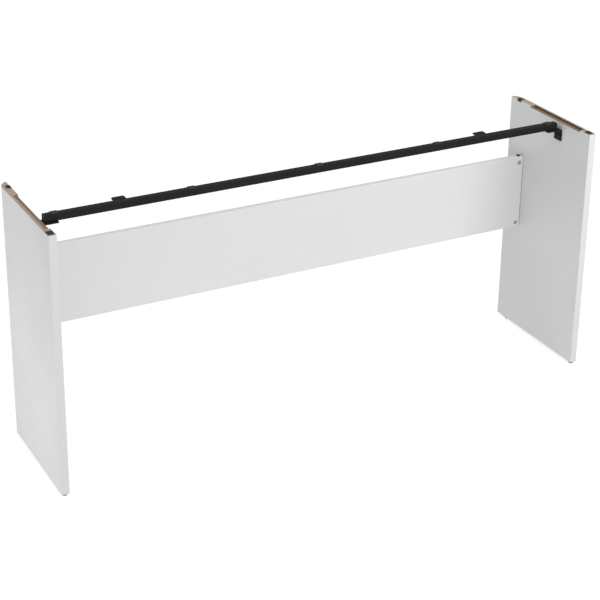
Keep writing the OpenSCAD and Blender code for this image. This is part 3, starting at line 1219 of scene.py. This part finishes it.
@dataclass
class WeldBead:
    """A short fillet weld, laid down in ripples.

    Attributes:
        start: the middle of one end.
        end: the middle of the other.
        radius: the bead's radius.
        ripples: the number of ripples.
        steps: rings to each ripple.
    """

    start: Vector
    end: Vector
    radius: float = 1.1 * MM
    ripples: int = 7
    steps: int = 4

    def thickness(self, share: float) -> float:
        """The bead's radius a share of the way along."""
        swell = max(math.sin(math.pi * share), 0.02) ** 0.35
        return self.radius * swell * (1 + 0.10 * math.cos(math.tau * self.ripples * share))

    def shape(self) -> Workpiece:
        """Draws a ring along the seam, and closes its ends.

        Returns:
            The bead.
        """
        made = Workpiece()
        run = self.end - self.start
        turn = run.to_track_quat("Z", "Y").to_matrix().to_4x4()
        count = self.ripples * self.steps
        ring = bmesh.ops.create_circle(
            made.mesh, cap_ends=True, segments=10, radius=self.thickness(0.0),
            matrix=Matrix.Translation(self.start) @ turn,
        )
        edges = list({edge for vert in ring["verts"] for edge in vert.link_edges})
        for step in range(1, count + 1):
            drawn = bmesh.ops.extrude_edge_only(made.mesh, edges=edges)["geom"]
            verts = [part for part in drawn if isinstance(part, bmesh.types.BMVert)]
            edges = [part for part in drawn if isinstance(part, bmesh.types.BMEdge)]
            middle = self.start + run * step / count
            growth = self.thickness(step / count) / self.thickness((step - 1) / count)
            bmesh.ops.translate(made.mesh, verts=verts, vec=run / count)
            bmesh.ops.scale(
                made.mesh, verts=verts, vec=(growth,) * 3, space=Matrix.Translation(-middle)
            )
        bmesh.ops.contextual_create(made.mesh, geom=edges)
        return made.closed()


@dataclass
class SupportRail(SubAssembly):
    """The square tube with its end plugs, its two fixing tabs and their welds.

    Attributes:
        burr: the rounding of the tube's cut ends.
        plug_edge: the rounding of a plug's flange.
        plug_rim: the width of the rim on a plug's outer face.
        plug_dish: how far the middle of that face is sunk.
        tab_edge: the rounding of a pressed tab's edges.
        weld_inset: how far a weld stays from the ends of its seam.
    """

    burr: float = 0.2 * MM
    plug_edge: float = 0.4 * MM
    plug_rim: float = 2.0 * MM
    plug_dish: float = 0.5 * MM
    tab_edge: float = 0.35 * MM
    weld_inset: float = 1.6 * MM

    def plug(self, side: Side) -> bpy.types.Object:
        """Makes one end plug.

        Args:
            side: which end it closes.

        Returns:
            The plug.
        """
        node = side.node("rail_end_plug")
        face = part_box(node)[1].x if side is Side.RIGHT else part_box(node)[0].x
        plug = Workpiece.from_nodes(node).soften(self.plug_edge, where=reaches(Axis.X, face))
        plug.sink(faces_at(Axis.X, face), self.plug_rim, self.plug_dish)
        return plug.hand_over(side.node("tube_plug"), PLUG_PLASTIC, [node])

    def tab(self, side: Side) -> list[bpy.types.Object]:
        """Makes one tab and its welds.

        Args:
            side: which of the two tabs it is.

        Returns:
            The tab and the welds.
        """
        node = side.node("rail_tab")
        low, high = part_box(node)
        tab = Workpiece.from_nodes(node).soften(self.tab_edge, shortest=0.3 * MM)
        welds = Workpiece()
        for edge in (low.x, high.x):
            start = Vector((edge, low.y, low.z + self.weld_inset))
            end = Vector((edge, low.y, high.z - 2 * self.weld_inset))
            welds.with_piece(WeldBead(start, end).shape())
        return [
            tab.hand_over(side.node("fixing_tab"), POWDER_COAT, [node]),
            welds.hand_over(side.node("tab_welds"), POWDER_COAT),
        ]

    def build(self) -> list[bpy.types.Object]:
        """Makes the tube, plugs, tabs and welds. See SubAssembly.build."""
        ends = [limit.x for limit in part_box("support_rail")]
        at_end = [reaches(Axis.X, end) for end in ends]
        tube = Workpiece.from_nodes("support_rail")
        tube.soften(self.burr, 0.1 * MM, lambda edge: any(test(edge) for test in at_end), 1)
        made = [tube.hand_over("square_tube", POWDER_COAT, ["support_rail"])]
        for side in Side:
            made.extend([self.plug(side), *self.tab(side)])
        return made


@dataclass
class EndBrackets(SubAssembly):
    """The bent brackets that carry the rail, with their screws, inserts and washers.

    Attributes:
        edge: the rounding of a pressed bracket's edges.
        screw_edge: the rounding of the screw heads.
        washer_edge: the rounding of the washers.
    """

    edge: float = 0.4 * MM
    screw_edge: float = 0.15 * MM
    washer_edge: float = 0.2 * MM

    def build(self) -> list[bpy.types.Object]:
        """Makes brackets, screws and washers. See SubAssembly.build."""
        made = []
        for side in Side:
            node = side.node("end_bracket")
            bracket = Workpiece.from_nodes(node).soften(self.edge, shortest=0.55 * MM)
            made.append(bracket.hand_over(side.node("bent_bracket"), POWDER_COAT, [node]))
        for node, finish, edge in (
            ("bracket_screws", BLACK_OXIDE, self.screw_edge),
            ("rail_clamp_screws", BLACK_OXIDE, self.screw_edge),
            ("rail_clamp_washers", ZINC, self.washer_edge),
        ):
            turned = Workpiece.from_nodes(node).soften(edge, shortest=0.3 * MM)
            made.append(turned.hand_over(f"finished_{node}", finish, [node]))
        return made

    def dress(self) -> list[bpy.types.Object]:
        """Finishes the hidden inserts and nuts. See SubAssembly.dress."""
        return [self.coat(node, ZINC) for node in ("bracket_inserts", "rail_rivet_nuts")]


@dataclass
class Glides(SubAssembly):
    """The nail-on glides under the panels: a dark plastic sole under a nickel collar.

    Attributes:
        nail_radius: the radius of the nail.
        edge: the radius of the dark ring's lower edge.
        shade_ring: the height of the dark ring that paints the shade at the foot.
        step: how far the collar stands inside the dark ring.
    """

    nail_radius: float = 1.2 * MM
    edge: float = 1.5 * MM
    shade_ring: float = 2.2 * MM
    step: float = 0.2 * MM

    def glide(self, side: Side, end: str) -> list[bpy.types.Object]:
        """Makes one glide.

        Args:
            side: which panel it is under.
            end: front or rear.

        Returns:
            The collar with its nail, and the dark ring that paints the shade under it.
        """
        node = side.node(f"{end}_glide")
        low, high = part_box(node)
        radius, top = (high.x - low.x) / 2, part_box(side.node("side_panel"))[0].z
        # The dark ring at the floor is painted shade under the glide.
        shade_ring = [
            (0, 0), (radius - self.edge, 0), *quarter((radius - self.edge, self.edge), self.edge, -90)[1:],
            (radius, self.shade_ring - self.step), (radius - self.step, self.shade_ring), (0, self.shade_ring),
        ]
        collar = [
            (0, self.shade_ring), (radius - 2 * self.step, self.shade_ring),
            (radius - self.step, self.shade_ring + self.step),
            (radius - self.step, top), (self.nail_radius, top),
            (self.nail_radius, high.z - 2 * self.nail_radius), (0, high.z),
        ]
        foot = Vector(((low.x + high.x) / 2, (low.y + high.y) / 2, 0))
        return [
            Workpiece.spun(collar, foot).hand_over(side.node(f"{end}_glide_collar"), NICKEL, [node]),
            Workpiece.spun(shade_ring, foot).hand_over(side.node(f"{end}_glide_sole"), PLUG_PLASTIC),
        ]

    def build(self) -> list[bpy.types.Object]:
        """Makes the four glides. See SubAssembly.build."""
        return [piece for side in Side for end in ("front", "rear") for piece in self.glide(side, end)]


# ---- studio ----


@dataclass(frozen=True)
class SoftBox:
    """A rectangular studio light.

    Attributes:
        name: the light's name.
        place: where it stands.
        aim: the point that it faces.
        size: its width and height.
        power: its power in watts.
        tint: its colour.
    """

    name: str
    place: tuple[float, float, float]
    aim: tuple[float, float, float]
    size: tuple[float, float]
    power: float
    tint: Colour = (1.0, 1.0, 1.0)

    def hang(self) -> None:
        """Hangs the light in the studio."""
        light = bpy.data.lights.new(self.name, "AREA")
        light.shape = "RECTANGLE"
        light.size, light.size_y = self.size
        light.energy = self.power
        light.color = self.tint
        lamp = bpy.data.objects.new(self.name, light)
        lamp.location = self.place
        lamp.visible_camera = False
        lamp.rotation_euler = (Vector(self.aim) - Vector(self.place)).to_track_quat("-Z", "Y").to_euler()
        bpy.context.scene.collection.objects.link(lamp)


@dataclass(frozen=True)
class FloorFinish(Finish):
    """A pale floor that is lit from below, like a light table, and is hardly visibly uneven.

    Attributes:
        glow: the strength of the light that comes up through it.
    """

    glow: float = 0.8

    def paint(self, pen: NodePen, inputs: Mapping[str, Socket], place: Socket) -> None:
        """Adds the glow to the plain finish. See Finish.paint."""
        super().paint(pen, inputs, place)
        inputs["Emission Color"].default_value = (1.0, 1.0, 1.0, 1.0)
        inputs["Emission Strength"].default_value = self.glow


@dataclass
class Studio:
    """The plain pale room: floor, surrounding light, softboxes and camera.

    Attributes:
        azimuth: the camera's direction round the stand, in degrees to the left of straight ahead.
        elevation: its height over the horizon, in degrees.
        roll: its tilt about its own axis, in degrees.
        distance: its distance from the point it is aimed at.
        aim: that point.
        focal: the lens's focal length in millimetres, on a 36 mm sensor.
        rise: the vertical shift of the lens, as a share of the sensor.
        floor_radius: the floor's radius.
        surround: the strength of the light from all round.
        crown: how much stronger the light is from above.
        crown_axis: the direction of its middle.
        crown_edge: the cosine of the angle from its middle to its edge.
        lights: the softboxes.
    """

    azimuth: float = 28.14
    elevation: float = 22.79
    roll: float = 0.765
    distance: float = 3.541
    aim: tuple[float, float, float] = (-0.024, 0.0, 0.469)
    focal: float = 96.5
    rise: float = -0.15
    floor_radius: float = 60.0
    surround: float = 0.5
    crown: float = 1.3
    crown_axis: tuple[float, float, float] = (0.0, -0.2, 1.0)
    crown_edge: float = 0.6
    lights: tuple[SoftBox, ...] = field(
        default_factory=lambda: (
            SoftBox("front", (-0.35, -3.2, 1.1), (0.1, 0.0, 0.4), (1.6, 1.2), 33.0),
            SoftBox("front_right", (1.0, -1.0, 0.95), (0.55, 0.0, 0.45), (0.45, 0.45), 4.0),
            SoftBox("left_low", (-1.1, 0.0, 0.06), (-0.655, 0.0, 0.1), (0.3, 0.5), 1.05),
        )
    )

    def lay_floor(self) -> None:
        """Lays the floor just under the glides."""
        finish = FloorFinish(
            "studio_floor", "", (0.26, 0.26, 0.26), (0.24, 0.24, 0.24), (0.8, 0.9), 200.0, 0.02 * MM, 0.1
        )
        mesh = bmesh.new()
        place = Matrix.Translation((0, 0, -0.2 * MM))
        bmesh.ops.create_circle(mesh, cap_ends=True, segments=96, radius=self.floor_radius, matrix=place)
        data = bpy.data.meshes.new("studio_floor")
        mesh.to_mesh(data)
        mesh.free()
        data.materials.append(finish.material())
        floor = bpy.data.objects.new("studio_floor", data)
        bpy.context.scene.collection.objects.link(floor)

    def light_up(self) -> None:
        """Sets the surrounding light, hangs the softboxes and picks the plain view transform."""
        world = bpy.data.worlds.new("studio")
        world.use_nodes = True
        sky = world.node_tree.nodes["Background"].inputs
        sky["Color"].default_value = (1.0, 1.0, 1.0, 1.0)
        pen = NodePen(world.node_tree)
        towards = pen.node("ShaderNodeVectorMath", operation="DOT_PRODUCT")
        pen.feed(towards.inputs[0], pen.node("ShaderNodeTexCoord").outputs["Object"])
        towards.inputs[1].default_value = Vector(self.crown_axis).normalized()
        brightest = self.surround + self.crown
        strength = pen.remap(towards.outputs["Value"], (self.crown_edge, 1.0), (self.surround, brightest))
        pen.feed(sky["Strength"], strength)
        bpy.context.scene.world = world
        bpy.context.scene.view_settings.view_transform = "Standard"
        for light in self.lights:
            light.hang()

    def place_camera(self) -> None:
        """Aims the camera at the stand."""
        lens = bpy.data.cameras.new("camera")
        lens.sensor_width = 36.0
        lens.lens = self.focal
        lens.shift_y = self.rise
        turn, lift = math.radians(-self.azimuth), math.radians(self.elevation)
        back = Vector(
            (math.sin(turn) * math.cos(lift), -math.cos(turn) * math.cos(lift), math.sin(lift))
        )
        look = (-back).to_track_quat("-Z", "Y").to_matrix().to_4x4()
        camera = bpy.data.objects.new("camera", lens)
        camera.matrix_world = (
            Matrix.Translation(Vector(self.aim) + back * self.distance)
            @ look
            @ Matrix.Rotation(math.radians(self.roll), 4, "Z")
        )
        bpy.context.scene.collection.objects.link(camera)
        bpy.context.scene.camera = camera

    def set_up(self) -> None:
        """Prepares the whole studio."""
        self.lay_floor()
        self.light_up()
        self.place_camera()


def main() -> None:
    """Builds the studio and every sub-assembly, and reports each piece."""
    logging.basicConfig(level=logging.INFO, format="%(message)s")
    Studio().set_up()
    assemblies: list[SubAssembly] = [
        SidePanel(Side.LEFT), SidePanel(Side.RIGHT), Bumpers(), BackBoard(), KnockDownFittings(),
        SupportRail(), EndBrackets(), Glides(),
    ]
    for assembly in assemblies:
        label = type(assembly).__name__
        for piece in assembly.build():
            LOG.info("%s: built %s, %d faces", label, piece.name, len(piece.data.polygons))
        for node in assembly.dress():
            LOG.info("%s: finished %s", label, node.name)


if __name__ == "__main__":
    main()
